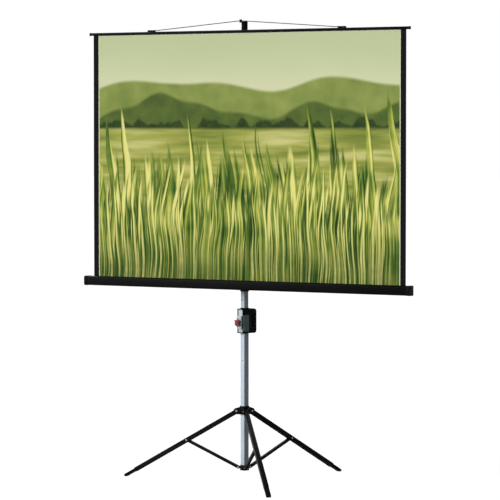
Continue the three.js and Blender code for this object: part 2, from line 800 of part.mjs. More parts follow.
// Case: a long shell with a slot along its top for the cloth
const caseShape = (proud) =>
  roundedRect(
    -caseBack - caseDepth - proud,
    caseBottom - proud,
    -caseBack + proud,
    caseTop + proud,
    caseFrontCorner + proud,
    caseBackCorner + proud,
    caseBackCorner + proud,
    caseFrontCorner + proud,
  );
const housingShape = caseShape(0);
housingShape.holes.push(caseShape(-caseWall));
const bodyHalf = bodyLength / 2;
const slotCut = box(
  -caseLength,
  caseLength,
  clothCentreY - slotWidth / 2,
  clothCentreY + slotWidth / 2,
  caseTop - 2 * caseWall,
  caseTop + 1,
);
const caseBoltHole = rodY(
  -screenOffset,
  rollerCentreZ,
  boltRadius + fit,
  -caseBack - 2 * caseWall,
  -caseBack + 1,
);
const housing = cutBy(alongX(housingShape, -bodyHalf, bodyHalf, 3), slotCut, caseBoltHole);
piece(screen, "case_housing", housing, blackMetal);

for (const [side, name] of [
  [-1, "left"],
  [1, "right"],
]) {
  const inner = side * (caseHalf - capLength);
  const outer = side * caseHalf;
  const block = alongX(caseShape(capProud), Math.min(inner, outer), Math.max(inner, outer), 3);
  const bossEnd = inner - side * capBoss;
  const bossFrom = Math.min(bossEnd, inner + side);
  const bossTo = Math.max(bossEnd, inner + side);
  const boss = rodX(caseCentreY, rollerCentreZ, capBossRadius, bossFrom, bossTo);
  const pinRadius = side < 0 ? rollerPinRadius : springRodRadius;
  const boreFrom = Math.min(bossEnd - side, outer - side * 6);
  const boreTo = Math.max(bossEnd - side, outer - side * 6);
  const bore = rodX(caseCentreY, rollerCentreZ, pinRadius + fit, boreFrom, boreTo);
  piece(screen, "end_cap_" + name, cutBy(joined(block, boss), bore), blackPlastic);
}

// Roller with its two end plugs, the fixed rod and the spring that winds the cloth back in
const tubeShape = (outer, inner) => {
  const shape = circleShape(caseCentreY, rollerCentreZ, outer);
  shape.holes.push(circleShape(caseCentreY, rollerCentreZ, inner));
  return shape;
};
const rollerInside = rollerRadius - rollerWall;
const rollerTube = alongX(tubeShape(rollerRadius, rollerInside), -rollerHalf, rollerHalf, 10);
piece(screen, "roller_tube", rollerTube, zinc);
const plugRadius = rollerInside - fit;
const leftPlug = joined(
  rodX(caseCentreY, rollerCentreZ, plugRadius, -rollerHalf, -rollerHalf + rollerPlugLength),
  rodX(caseCentreY, rollerCentreZ, rollerPinRadius, -caseHalf + 8, -rollerHalf + 1),
);
piece(screen, "roller_plug_left", leftPlug, blackPlastic);
const rightPlug = alongX(
  tubeShape(plugRadius, springRodRadius + fit),
  rollerHalf - rollerPlugLength,
  rollerHalf,
  8,
);
piece(screen, "roller_plug_right", rightPlug, blackPlastic);
const rodEnd = caseHalf - 8;
const springRod = rodX(caseCentreY, rollerCentreZ, springRodRadius, rodEnd - springRodLength, rodEnd);
piece(screen, "spring_rod", springRod, zinc);
const springEnd = rollerHalf - rollerPlugLength - fit;
const rollerSpring = alongX(
  tubeShape(rollerSpringRadius, springRodRadius + fit),
  springEnd - rollerSpringLength,
  springEnd,
  8,
);
piece(screen, "roller_spring", rollerSpring, zinc);
const woundInside = rollerRadius + fit;
const clothHalf = clothWidth / 2;
const wound = alongX(tubeShape(woundInside + woundThickness, woundInside), -clothHalf, clothHalf, 12);
piece(screen, "cloth_roll", wound, clothWhite);

// Cloth: from the roller's back, out of the slot, up into the bar
const clothTop = barBottom + barSlotDepth - 1;
const cloth = box(-clothHalf, clothHalf, clothBack, clothBack + clothThickness, rollerCentreZ, clothTop);
piece(screen, "screen_cloth", cloth, clothWhite);

// Top bar, which grips the cloth, with its caps, bail clips and bail
const barShape = (proud) =>
  roundedRect(
    clothCentreY - barDepth / 2 - proud,
    barBottom - proud,
    clothCentreY + barDepth / 2 + proud,
    barTop + proud,
    4 + proud,
  );
const slotHalf = clothThickness / 2 + barSlotClearance;
const barSlot = box(
  -caseLength,
  caseLength,
  clothCentreY - slotHalf,
  clothCentreY + slotHalf,
  barBottom - 1,
  barBottom + barSlotDepth,
);
piece(screen, "top_bar", cutBy(alongX(barShape(0), -barHalf, barHalf, 3), barSlot), blackMetal);
for (const [side, name] of [
  [-1, "left"],
  [1, "right"],
]) {
  const inner = side * (barHalf + fit);
  const outer = side * (barHalf + fit + barCapLength);
  const cap = alongX(barShape(barCapProud), Math.min(inner, outer), Math.max(inner, outer), 3);
  piece(screen, "bar_cap_" + name, cap, blackPlastic);

  const clipX = (side * clipSpacing) / 2;
  const clipFrom = clothCentreY - clipWidth / 2;
  const clipTo = clothCentreY + clipWidth / 2;
  const clipBlank = box(
    clipX - clipLength / 2,
    clipX + clipLength / 2,
    clipFrom,
    clipTo,
    barTop + fit,
    barTop + fit + clipHeight,
  );
  const wireHole = box(
    clipX - clipLength,
    clipX + clipLength,
    clothCentreY - bailRadius - 3 * fit,
    clothCentreY + bailRadius + 3 * fit,
    barTop + fit + clipHeight / 3,
    barTop + 2 * clipHeight,
  );
  piece(screen, "bail_clip_" + name, cutBy(clipBlank, wireHole), blackPlastic);
}

const bailFoot = barTop + fit + clipHeight / 3 + bailRadius + 2 * fit;
const hookGroove = -(hookReach - hookTipThickness + hookOutside) / 2;
const bailHookY = hookGroove * Math.cos(screenTurn);
const bailHookX = -screenOffset + hookGroove * Math.sin(screenTurn);
const bailSide = (side) => {
  const clipX = (side * clipSpacing) / 2;
  const end = new THREE.Vector3(clipX + (side * clipLength) / 2, clothCentreY, bailFoot);
  const bend = new THREE.Vector3(clipX - (side * clipLength) / 2, clothCentreY, bailFoot);
  const shoulder = new THREE.Vector3(bailHookX + side * bailPeakHalf, bailHookY, bailPeak);
  return [end, bend, shoulder];
};
const bailPoints = [...bailSide(-1), ...bailSide(1).reverse()];
const bailPath = new THREE.CatmullRomCurve3(bailPoints, false, "centripetal");
const bail = new THREE.ExtrudeGeometry(circleShape(0, 0, bailRadius), {
  extrudePath: bailPath,
  steps: 48,
  curveSegments: 4,
});
piece(screen, "bail_wire", bail, zinc);

// The origin goes under the middle of the whole
const bounds = new THREE.Box3().setFromObject(model, true);
model.position.set(-(bounds.min.x + bounds.max.x) / 2, -(bounds.min.y + bounds.max.y) / 2, 0);

const projectionScreen = new THREE.Group();
projectionScreen.add(model);

export default projectionScreen;
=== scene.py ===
# A portable projection screen on a folding tripod: the finish of every piece, in metres, piece by piece
# as the screen is put together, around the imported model.
import json
import math

import bpy
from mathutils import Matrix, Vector

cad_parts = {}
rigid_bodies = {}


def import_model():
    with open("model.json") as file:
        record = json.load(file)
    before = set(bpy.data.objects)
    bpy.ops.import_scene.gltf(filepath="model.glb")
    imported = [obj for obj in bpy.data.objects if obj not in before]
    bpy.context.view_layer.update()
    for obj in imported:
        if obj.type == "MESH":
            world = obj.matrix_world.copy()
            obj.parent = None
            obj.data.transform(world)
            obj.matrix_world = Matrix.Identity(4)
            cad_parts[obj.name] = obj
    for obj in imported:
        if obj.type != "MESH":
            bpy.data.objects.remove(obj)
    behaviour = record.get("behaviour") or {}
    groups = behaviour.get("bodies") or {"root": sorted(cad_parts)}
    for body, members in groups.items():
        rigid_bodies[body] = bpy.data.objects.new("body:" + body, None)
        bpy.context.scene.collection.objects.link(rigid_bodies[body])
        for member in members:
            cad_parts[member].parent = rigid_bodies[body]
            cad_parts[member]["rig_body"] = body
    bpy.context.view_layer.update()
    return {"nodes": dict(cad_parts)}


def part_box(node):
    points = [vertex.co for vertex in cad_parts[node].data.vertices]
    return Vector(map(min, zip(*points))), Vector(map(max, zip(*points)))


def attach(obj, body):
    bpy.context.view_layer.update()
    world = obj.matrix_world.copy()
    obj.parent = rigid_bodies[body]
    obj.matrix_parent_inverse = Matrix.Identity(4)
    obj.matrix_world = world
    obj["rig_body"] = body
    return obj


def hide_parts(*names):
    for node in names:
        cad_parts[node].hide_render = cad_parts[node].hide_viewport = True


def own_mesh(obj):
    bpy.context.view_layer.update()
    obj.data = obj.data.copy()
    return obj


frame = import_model()
nodes = frame["nodes"]

# Mast: three square steel tubes with round corners that slide in each other. They are drawn, cut to
# length and painted blue-grey, and the paint is baked.


def linear(code):
    """A colour written as sRGB hex, as Blender's sockets take it."""
    shares = [int(code[i : i + 2], 16) / 255 for i in (1, 3, 5)]
    return (*[s / 12.92 if s <= 0.04045 else ((s + 0.055) / 1.055) ** 2.4 for s in shares], 1.0)


def add(tree, kind, inputs=(), stops=(), **settings):
    """Adds a shader node. Each input is a value, a socket, or a node whose first output it takes."""
    node = tree.nodes.new("ShaderNode" + kind)
    for name, value in settings.items():
        setattr(node, name, value)
    for i, (place, shade) in enumerate(stops):
        element = node.color_ramp.elements[i] if i < 2 else node.color_ramp.elements.new(place)
        element.position = place
        element.color = shade
    for name, value in dict(inputs).items():
        if isinstance(value, bpy.types.Node):
            value = value.outputs[0]
        if isinstance(value, bpy.types.NodeSocket):
            tree.links.new(value, node.inputs[name])
        else:
            node.inputs[name].default_value = value
    return node


def new_material(name):
    """A material, and its node tree with nothing in it."""
    material = bpy.data.materials.new(name)
    material.use_nodes = True
    material.node_tree.nodes.clear()
    return material, material.node_tree


gloss_range = 0.06  # how far the roughness wanders to each side
grain_strength = 0.6


# The grain of painted and moulded skins is 0.1 to 0.3 mm wide. It is drawn at 0.6 to 2 mm, coarser than
# the real one, so that it shows close by.
def coating(name, shades, patch, grain, depth, rough, stretch=(1, 1, 1), **sockets):
    """A finish whose colour drifts between two shades over patches, with a grain of some depth."""
    material, tree = new_material(name)
    place = add(tree, "TexCoord").outputs["Object"]
    drift = add(tree, "TexNoise", {"Vector": place, "Scale": 1 / patch, "Detail": 3.0})
    shade = add(tree, "ValToRGB", {"Fac": drift}, [(0.3, linear(shades[0])), (0.7, linear(shades[1]))])
    drawn = add(tree, "Mapping", {"Vector": place, "Scale": stretch})
    speck = add(tree, "TexNoise", {"Vector": drawn, "Scale": 1 / grain, "Detail": 2.0})
    relief = add(tree, "Bump", {"Height": speck, "Distance": depth, "Strength": grain_strength})
    gloss = add(
        tree,
        "MapRange",
        {"Value": speck, "To Min": rough - gloss_range, "To Max": rough + gloss_range},
    )
    shader = add(
        tree,
        "BsdfPrincipled",
        {"Base Color": shade, "Roughness": gloss, "Normal": relief, **sockets},
    )
    add(tree, "OutputMaterial", {"Surface": shader})
    return material


same_point = 0.00002  # points nearer than this are merged
flat_angle = math.radians(0.5)  # faces that meet flatter than this are one
edge_angle = math.radians(46)  # edges sharper than this are eased
smooth_angle = math.radians(40)


def dressed(node, name, material, edge=0.0005, steps=2):
    """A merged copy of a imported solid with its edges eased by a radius, which stands for it on its body."""
    source = nodes[node]
    piece = bpy.data.objects.new(name, source.data.copy())
    bpy.context.scene.collection.objects.link(piece)
    piece.data.materials.clear()
    piece.data.materials.append(material)
    bpy.ops.object.select_all(action="DESELECT")
    piece.select_set(True)
    bpy.context.view_layer.objects.active = piece
    bpy.ops.mesh.customdata_custom_splitnormals_clear()
    bpy.ops.object.mode_set(mode="EDIT")
    bpy.ops.mesh.select_all(action="SELECT")
    bpy.ops.mesh.remove_doubles(threshold=same_point)
    bpy.ops.mesh.dissolve_limited(angle_limit=flat_angle)
    bpy.ops.object.mode_set(mode="OBJECT")
    eased = piece.modifiers.new("eased", "BEVEL")
    eased.width = edge
    eased.segments = steps
    eased.limit_method = "ANGLE"
    eased.angle_limit = edge_angle
    bpy.ops.object.modifier_apply(modifier="eased")
    bpy.ops.object.shade_smooth_by_angle(angle=smooth_angle)
    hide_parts(node)
    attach(piece, source["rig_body"])
    return piece


# Baked paint is satin, and its skin blurs what it mirrors. The faint lines of the draw show through it,
# so its grain is stretched along the tubes.
tube_paint = coating(
    "blue_grey_baked_paint",
    ("#A9B7C4", "#B9C5D0"),
    patch=0.09,
    grain=0.0012,
    depth=0.00008,
    rough=0.36,
    stretch=(1, 1, 0.02),
    **{"Specular IOR Level": 0.2},
)
dressed("mast_tube", "mast_outer_tube", tube_paint, edge=0.0003)
dressed("upper_tube", "mast_middle_tube", tube_paint, edge=0.0003)
dressed("extension_tube", "mast_extension_tube", tube_paint, edge=0.0003)

# Rings, glide and plug: black nylon mouldings, pressed on or into the tubes' ends. They fill the play
# between the tubes, so that steel never rubs on steel.

# Nylon from an etched mould is a dull black, whose fine grain breaks up most of the mirror light.
matt = {"Specular IOR Level": 0.03}
black_nylon = coating(
    "moulded_black_nylon",
    ("#08090A", "#0E0F10"),
    patch=0.03,
    grain=0.0006,
    depth=0.00004,
    rough=0.5,
    **matt,
)
dressed("mast_top_ring", "mast_mouth_ring", black_nylon, edge=0.0008)
dressed("upper_tube_ring", "middle_tube_ring", black_nylon, edge=0.0008)
dressed("upper_tube_glide", "middle_tube_glide", black_nylon, edge=0.0005)
dressed("extension_plug", "extension_end_plug", black_nylon, edge=0.0005)

# Lower hub and leg collar: die-cast and powder-coated black. The hub closes the mast's foot and holds
# the struts; the collar slides on the mast and holds the legs' heads between pairs of ears.

# Powder coat is a thick film with a slight orange peel, which gives the black a satin sheen.
black_powder = coating(
    "black_powder_coat",
    ("#080909", "#0F1011"),
    patch=0.05,
    grain=0.0009,
    depth=0.00006,
    rough=0.42,
    **matt,
)
dressed("lower_hub", "foot_hub_casting", black_powder, edge=0.0012, steps=3)
collar = dressed("leg_collar", "leg_collar_casting", black_powder, edge=0.0009, steps=3)

# Legs and struts: sheet steel folded to a channel and powder-coated black, with steel rivets for pivots.
# A moulded rubber boot is pushed over each leg's foot.

# Zinc plate is a mottled grey metal: it mirrors softly, and never quite evenly.
zinc = coating(
    "bright_zinc_plate",
    ("#7C8080", "#939898"),
    patch=0.012,
    grain=0.0008,
    depth=0.00003,
    rough=0.38,
    Metallic=0.9,
)
# Rubber from a blasted mould is matt all over, with a coarser grain than the plastics.
boot_rubber = coating(
    "moulded_boot_rubber",
    ("#0A0A0B", "#111112"),
    patch=0.02,
    grain=0.0012,
    depth=0.00012,
    rough=0.72,
    **matt,
)
for k in (1, 2, 3):
    dressed(f"leg_{k}", f"leg_channel_{k}", black_powder, edge=0.0007)
    dressed(f"strut_{k}", f"strut_channel_{k}", black_powder, edge=0.0007)
    dressed(f"leg_rivet_{k}", f"leg_pivot_rivet_{k}", zinc, edge=0.0006, steps=3)
    dressed(f"hub_rivet_{k}", f"hub_pivot_rivet_{k}", zinc, edge=0.0006, steps=3)
    dressed(f"foot_{k}", f"rubber_boot_{k}", boot_rubber, edge=0.0022, steps=3)

# The rivets through the collar's ears: zinc-plated steel, set with a press. Their heads stand outside
# the ears and are of one piece with the collar here, so their faces are found by their place.
mast_low, mast_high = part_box("mast_tube")
mast_axis = (mast_low + mast_high) / 2
ear_outside = 0.0145  # from the middle of a leg
rivet_from, rivet_to = 0.030, 0.046  # from the mast's axis
collar.data.materials.append(zinc)
for k in (1, 2, 3):
    outwards = sum(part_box(f"foot_{k}"), Vector()) / 2 - mast_axis
    outwards = Vector((outwards.x, outwards.y, 0)).normalized()
    for face in collar.data.polygons:
        reach = (face.center - mast_axis).dot(outwards)
        aside = abs((face.center - mast_axis).dot(Vector((-outwards.y, outwards.x, 0))))
        if aside > ear_outside and rivet_from < reach < rivet_to:
            face.material_index = 1

# Handle: a body of black ABS round the mast, with a grip behind it. A grey plate lies inside its front
# rim, with a raised part that holds the red release lever, and each side has a panel in painted shade.

# The body's mould is etched: a fine grain that scatters the light, and leaves a deep satin black.
black_abs = coating(
    "fine_grained_black_abs",
    ("#08090A", "#0E1011"),
    patch=0.04,
    grain=0.0008,
    depth=0.00006,
    rough=0.46,
    **matt,
)
# The plate's mould is plain: smooth and semi-gloss, with hardly any grain.
grey_abs = coating(
    "pale_grey_abs",
    ("#A3B1B1", "#B3C1C0"),
    patch=0.05,
    grain=0.0010,
    depth=0.00003,
    rough=0.36,
)
# The panels' mould is blasted, so they are matt beside the plate. Their grey is the plate's, painted
# darker as shade on the sides that face away from the light.
panel_abs = coating(
    "grey_panel_abs_with_painted_shade",
    ("#7D9196", "#899DA1"),
    patch=0.04,
    grain=0.0010,
    depth=0.00004,
    rough=0.4,
    **matt,
)
# The lever's mould is polished: it alone carries a clear highlight.
red_abs = coating(
    "glossy_red_abs",
    ("#740E24", "#8A172F"),
    patch=0.02,
    grain=0.0020,
    depth=0.00002,
    rough=0.24,
    **{"Specular IOR Level": 0.3},
)
dressed("handle_body", "handle_moulding", black_abs, edge=0.0022, steps=3)
dressed("front_shell", "handle_front_plate", grey_abs, edge=0.0009, steps=3)
dressed("side_cover_left", "handle_panel_left", panel_abs, edge=0.0006, steps=3)
dressed("side_cover_right", "handle_panel_right", panel_abs, edge=0.0006, steps=3)
dressed("release_lever", "height_release_lever", red_abs, edge=0.0028, steps=4)
dressed("lever_pin", "release_lever_pin", zinc, edge=0.0003)
for k in (1, 2):
    dressed(f"shell_screw_{k}", f"plate_screw_{k}", zinc, edge=0.0003)


def coated(node, material):
    """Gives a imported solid, which stays as it is, its finish."""
    nodes[node].data.materials.clear()
    nodes[node].data.materials.append(material)


coated("latch_pin", zinc)
coated("latch_spring", zinc)

# Bracket: a plastic bush on the mast, and a steel bracket that turns on it and carries the case on one
# bolt, so that the whole case swings upright beside the mast for carrying.
dressed("bracket_bush", "bracket_bearing_bush", black_nylon, edge=0.0012, steps=3)
dressed("bracket_retainer", "bracket_retaining_ring", black_nylon, edge=0.0008)
dressed("case_bracket", "case_bracket_casting", black_powder, edge=0.0012, steps=3)
dressed("swivel_plate", "case_swivel_plate", zinc, edge=0.0005)
dressed("swivel_bolt", "case_swivel_bolt", zinc, edge=0.0006)
dressed("swivel_washer", "case_swivel_washer", zinc, edge=0.0003)
coated("swivel_nut", zinc)

# Case: an extruded shell in satin black with a slot along its top, closed by two moulded caps that
# stand a little proud. In it the roller turns on a fixed rod with the spring that winds the cloth in.

# The sprayed coat is thin and even, so that the long face shows one soft band of light.
case_coat = coating(
    "satin_black_case_coat",
    ("#060607", "#0B0B0C"),
    patch=0.22,
    grain=0.0010,
    depth=0.00003,
    rough=0.4,
    **matt,
)
dressed("case_housing", "screen_case_shell", case_coat, edge=0.0003)
for side in ("left", "right"):
    dressed(f"end_cap_{side}", f"case_end_cap_{side}", black_abs, edge=0.0016, steps=3)
# Aluminium as it leaves the die is a pale metal, with bright lines along its length.
mill_aluminium = coating(
    "mill_finish_aluminium",
    ("#B7B9BB", "#CBCDCE"),
    patch=0.05,
    grain=0.0010,
    depth=0.00003,
    rough=0.34,
    stretch=(0.02, 1, 1),
    Metallic=1.0,
)
coated("roller_tube", mill_aluminium)
coated("roller_plug_left", black_nylon)
coated("roller_plug_right", black_nylon)
coated("spring_rod", zinc)
coated("roller_spring", zinc)

# Cloth: a matt coated sheet, stretched between roller and bar. Its front has black side borders and a
# printed picture inside a thin pale line, and its back is opaque black, as the turns on the roller are.
sheet_low, sheet_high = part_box("screen_cloth")
sheet_width = sheet_high.x - sheet_low.x
sheet_length = sheet_high.z - sheet_low.z
sheet_thickness = sheet_high.y - sheet_low.y
sheet_middle = (sheet_low + sheet_high) / 2
border_width = 0.030
margin_line = 0.005
bar_grip = 0.014  # how far the pale line lies below the cloth's top edge, most of it in the bar
mesh_square = 0.015
wave_height = 0.0011  # out of the sheet's plane, at the slack side edges
wave_turn = 9.0  # radians to a metre across, which is a wave every 0.7 m
wave_lean = 2.2  # radians from the bottom to the top, so that the waves stand askew
middle_slack = 0.25  # of the slack at the side edges

# The backing is a black coat, rolled on: matt and even, and a little lighter than the borders.
black_backing = coating(
    "black_cloth_backing",
    ("#2A2A2D", "#343437"),
    patch=0.12,
    grain=0.0016,
    depth=0.00010,
    rough=0.74,
    **matt,
)

# The front is woven, coated and printed: matt, so that the picture keeps its colours without a shine.
# The picture's places are in metres on the flat cloth, from its left edge and from the roller up.
printed_cloth, tree = new_material("printed_matt_cloth")
flat_place = add(tree, "TexCoord").outputs["UV"]
flat_size = (sheet_width, sheet_length, 1.0)
metres = add(tree, "Mapping", {"Vector": flat_place, "Scale": flat_size})
axes = add(tree, "SeparateXYZ", {"Vector": metres})
across, up = axes.outputs["X"], axes.outputs["Y"]
lower, upper, mixed = 6, 7, 2  # the sockets of a Mix node that take two colours and give one

# Sky, pale and hazy, a little warmer low down
haze_low, haze_high = 0.85, 1.34
haze_size, haze_swing = 0.5, 0.18
haze_patches = add(tree, "TexNoise", {"Vector": metres, "Scale": 1 / haze_size, "Detail": 2.0})
haze_lift = add(tree, "Math", {0: haze_patches, 1: haze_swing}, operation="MULTIPLY")
haze_place = add(tree, "Math", {0: up, 1: haze_lift}, operation="ADD")
haze = add(
    tree,
    "MapRange",
    {"Value": haze_place, "From Min": haze_low, "From Max": haze_high},
    interpolation_type="SMOOTHSTEP",
)
picture = add(
    tree,
    "ValToRGB",
    {"Fac": haze},
    [(0.0, linear("#D9D6B0")), (0.45, linear("#D3D6AC")), (1.0, linear("#BDC89B"))],
).outputs["Color"]


def below(height, soft_from, soft_to):
    """1 below a height and 0 above it, with a soft edge that starts and ends so far below that height."""
    drop = add(tree, "Math", {0: height, 1: up}, operation="SUBTRACT")
    return add(
        tree,
        "MapRange",
        {"Value": drop, "From Min": soft_from, "From Max": soft_to},
        interpolation_type="SMOOTHSTEP",
    )


# Low hills, the far row pale and the near one darker, with clumps of trees at their foot. The skyline
# of each waves up from its foot by a swing, and its two shades change over patches.
for seed, spacing, jag, foot, swing, dark, light, patch, soft in (
    (0.0, 0.95, 1.0, 0.82, 0.30, "#5F7836", "#A3AB5E", 0.12, (-0.010, 0.012)),
    (7.3, 0.50, 1.0, 0.76, 0.24, "#2F4826", "#6E7F39", 0.08, (-0.012, 0.012)),
    (3.1, 0.11, 2.0, 0.745, 0.12, "#182A17", "#42552A", 0.035, (-0.008, 0.010)),
):
    along = add(tree, "Math", {0: across, 1: seed}, operation="ADD")
    wave = add(
        tree,
        "TexNoise",
        {"W": along, "Scale": 1 / spacing, "Detail": jag},
        noise_dimensions="1D",
    )
    skyline = add(tree, "Math", {0: wave, 1: swing, 2: foot}, operation="MULTIPLY_ADD")
    patches = add(tree, "TexNoise", {"Vector": metres, "Scale": 1 / patch, "Detail": 2.0})
    land = add(tree, "Mix", {0: patches, lower: linear(dark), upper: linear(light)}, data_type="RGBA")
    picture = add(
        tree,
        "Mix",
        {0: below(skyline, *soft), lower: picture, upper: land.outputs[mixed]},
        data_type="RGBA",
    ).outputs[mixed]

# A mown meadow below them, in soft level bands
meadow_top = 0.775
meadow_soft = (-0.010, 0.014)
band_size = 0.16
band_shape = (0.35, 3.2, 1.0)  # long across and short upwards
band_place = add(tree, "Mapping", {"Vector": metres, "Scale": band_shape})
bands = add(tree, "TexNoise", {"Vector": band_place, "Scale": 1 / band_size, "Detail": 2.0})
meadow = add(
    tree,
    "ValToRGB",
    {"Fac": bands},
    [(0.30, linear("#738238")), (0.52, linear("#A3A752")), (0.70, linear("#CBC881"))],
)
picture = add(
    tree,
    "Mix",
    {0: below(meadow_top, *meadow_soft), lower: picture, upper: meadow.outputs["Color"]},
    data_type="RGBA",
).outputs[mixed]

# A dark green that comes in under the meadow, and three rows of blades that stand in it
blade_shades = [
    (0.36, linear("#13250F")),
    (0.44, linear("#335421")),
    (0.51, linear("#748C38")),
    (0.57, linear("#B4B852")),
    (0.65, linear("#E6E088")),
]
green_top = 0.42
green_soft = (-0.10, 0.22)
picture = add(
    tree,
    "Mix",
    {0: below(green_top, *green_soft), lower: picture, upper: linear("#3F5A28")},
    data_type="RGBA",
).outputs[mixed]
blade_curve = 1.6  # a blade bends more towards its tip
breeze_size, breeze_reach = 0.45, 0.10
tone_size, tone_swing = 0.20, 0.36
tip_spacing = 1.7  # of a blade's width
tip_seed = 5.0
tip_soft = (0.0, 0.09)
gap_edge = (0.36, 0.46)  # of its noise, where a blade fades to the gap beside it


def blades(behind, lean, width, seed, lowest, swing):
    """A row of soft blades over what lies behind. Their tips wave up from the lowest by a swing."""
    curve = add(tree, "Math", {0: up, 1: blade_curve}, operation="POWER")
    bend = add(tree, "Math", {0: curve, 1: lean}, operation="MULTIPLY")
    breeze = add(tree, "TexNoise", {"Vector": metres, "Scale": 1 / breeze_size, "Detail": 1.0})
    sway = add(tree, "Math", {0: breeze, 1: breeze_reach}, operation="MULTIPLY")
    root = across
    for shift in (bend, sway, seed):
        root = add(tree, "Math", {0: root, 1: shift}, operation="ADD")
    body = add(tree, "TexNoise", {"W": root, "Scale": 1 / width, "Detail": 1.5}, noise_dimensions="1D")
    patches = add(tree, "TexNoise", {"Vector": metres, "Scale": 1 / tone_size, "Detail": 2.0})
    drift = add(tree, "Math", {0: patches, 1: tone_swing}, operation="MULTIPLY")
    lighter = add(tree, "Math", {0: drift, 1: tone_swing / 2}, operation="SUBTRACT")
    tone = add(tree, "Math", {0: body, 1: lighter}, operation="ADD")
    colour = add(tree, "ValToRGB", {"Fac": tone}, blade_shades)
    tip_place = add(tree, "Math", {0: root, 1: tip_seed}, operation="ADD")
    tip_wave = add(
        tree,
        "TexNoise",
        {"W": tip_place, "Scale": 1 / (width * tip_spacing), "Detail": 1.0},
        noise_dimensions="1D",
    )
    tip = add(tree, "Math", {0: tip_wave, 1: swing, 2: lowest}, operation="MULTIPLY_ADD")
    slim = add(
        tree,
        "MapRange",
        {"Value": body, "From Min": gap_edge[0], "From Max": gap_edge[1]},
        interpolation_type="SMOOTHSTEP",
    )
    share = add(tree, "Math", {0: below(tip, *tip_soft), 1: slim}, operation="MULTIPLY")
    return add(
        tree,
        "Mix",
        {0: share, lower: behind, upper: colour.outputs["Color"]},
        data_type="RGBA",
    ).outputs[mixed]


picture = blades(picture, lean=0.10, width=0.040, seed=11.0, lowest=0.18, swing=0.95)
picture = blades(picture, lean=-0.13, width=0.026, seed=23.0, lowest=0.10, swing=0.85)
picture = blades(picture, lean=0.04, width=0.015, seed=37.0, lowest=0.04, swing=0.72)

# Their feet stand in patches of shade
shade_top = 0.26
shade_soft = (-0.14, 0.26)
shade_depth = 1.1
shade_size = 0.10
ground = add(tree, "Math", {0: below(shade_top, *shade_soft), 1: shade_depth}, operation="MULTIPLY")
ground_patches = add(tree, "TexNoise", {"Vector": metres, "Scale": 1 / shade_size, "Detail": 2.0})
ground_share = add(tree, "Math", {0: ground, 1: ground_patches}, operation="MULTIPLY")
picture = add(
    tree,
    "Mix",
    {0: ground_share, lower: picture, upper: linear("#1D3A1A")},
    data_type="RGBA",
).outputs[mixed]

# The pale line round the picture and the black borders at its sides
off_centre = add(tree, "Math", {0: across, 1: sheet_width / 2}, operation="SUBTRACT")
from_centre = add(tree, "Math", {0: off_centre}, operation="ABSOLUTE")
from_side = add(tree, "Math", {0: sheet_width / 2, 1: from_centre}, operation="SUBTRACT")
from_top = add(tree, "Math", {0: sheet_length, 1: up}, operation="SUBTRACT")
line_at_side = add(tree, "Math", {0: from_side, 1: border_width + margin_line}, operation="LESS_THAN")
line_at_top = add(tree, "Math", {0: from_top, 1: bar_grip}, operation="LESS_THAN")
edge_line = add(tree, "Math", {0: line_at_side, 1: line_at_top}, operation="MAXIMUM")
border = add(tree, "Math", {0: from_side, 1: border_width}, operation="LESS_THAN")
for share, colour in ((edge_line, "#CFD3B2"), (border, "#0C0C0E")):
    picture = add(
        tree,
        "Mix",
        {0: share, lower: picture, upper: linear(colour)},
        data_type="RGBA",
    ).outputs[mixed]

# Plain weave of the cloth, drawn at 4 mm, coarser than the real thread, so that it shows close by
thread_spacing = 0.003948
band_rate = 20  # radians that the bands of a Wave node turn in one unit of its place
thread_depth, thread_strength = 0.00004, 0.5
threads = [
    add(
        tree,
        "TexWave",
        {"Vector": metres, "Scale": 2 * math.pi / (band_rate * thread_spacing)},
        wave_type="BANDS",
        bands_direction=direction,
    ).outputs["Fac"]
    for direction in ("X", "Y")
]
weave = add(tree, "Math", dict(enumerate(threads)), operation="MULTIPLY")
thread_relief = add(tree, "Bump", {"Height": weave, "Distance": thread_depth, "Strength": thread_strength})
cloth_shader = add(
    tree,
    "BsdfPrincipled",
    {"Base Color": picture, "Roughness": 0.72, "Normal": thread_relief, "Specular IOR Level": 0.06},
)
add(tree, "OutputMaterial", {"Surface": cloth_shader})

bpy.ops.object.select_all(action="DESELECT")
bpy.ops.mesh.primitive_grid_add(
    x_subdivisions=round(sheet_width / mesh_square),
    y_subdivisions=round(sheet_length / mesh_square),
    size=1,
    calc_uvs=True,
    location=sheet_middle,
    rotation=(math.pi / 2, 0, 0),
)
cloth = bpy.context.object
cloth.name = "picture_cloth"
cloth.scale = (sheet_width, sheet_length, 1)
bpy.ops.object.transform_apply(location=True, rotation=True, scale=True)
for vertex in cloth.data.vertices:
    height = (vertex.co.z - sheet_low.z) / sheet_length
    side = abs(vertex.co.x - sheet_middle.x) / (sheet_width / 2)
    slack = math.sin(math.pi * height) ** 2 * (middle_slack + (1 - middle_slack) * side**3)
    vertex.co.y += wave_height * slack * math.sin(wave_turn * vertex.co.x + wave_lean * height)
thickness = cloth.modifiers.new("thickness", "SOLIDIFY")
thickness.thickness = sheet_thickness
thickness.offset = 0
thickness.material_offset = 1
thickness.material_offset_rim = 1
cloth.data.materials.append(printed_cloth)
cloth.data.materials.append(black_backing)
bpy.ops.object.modifier_apply(modifier="thickness")
bpy.ops.object.shade_smooth_by_angle(angle=smooth_angle)
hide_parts("screen_cloth")
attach(cloth, "case")
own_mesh(cloth)
dressed("cloth_roll", "screen_roll", black_backing, edge=0.0002)

# Top bar: an extruded slat in satin black that grips the cloth's edge, with a moulded cap on each end,
# and a moulded clip near each end that holds the bail, a spring wire that hangs on the mast's hook.
dressed("top_bar", "top_bar_section", case_coat, edge=0.0003)
for side in ("left", "right"):
    dressed(f"bar_cap_{side}", f"top_bar_cap_{side}", black_abs, edge=0.0012, steps=3)
    dressed(f"bail_clip_{side}", f"bail_wire_clip_{side}", black_abs, edge=0.0008)

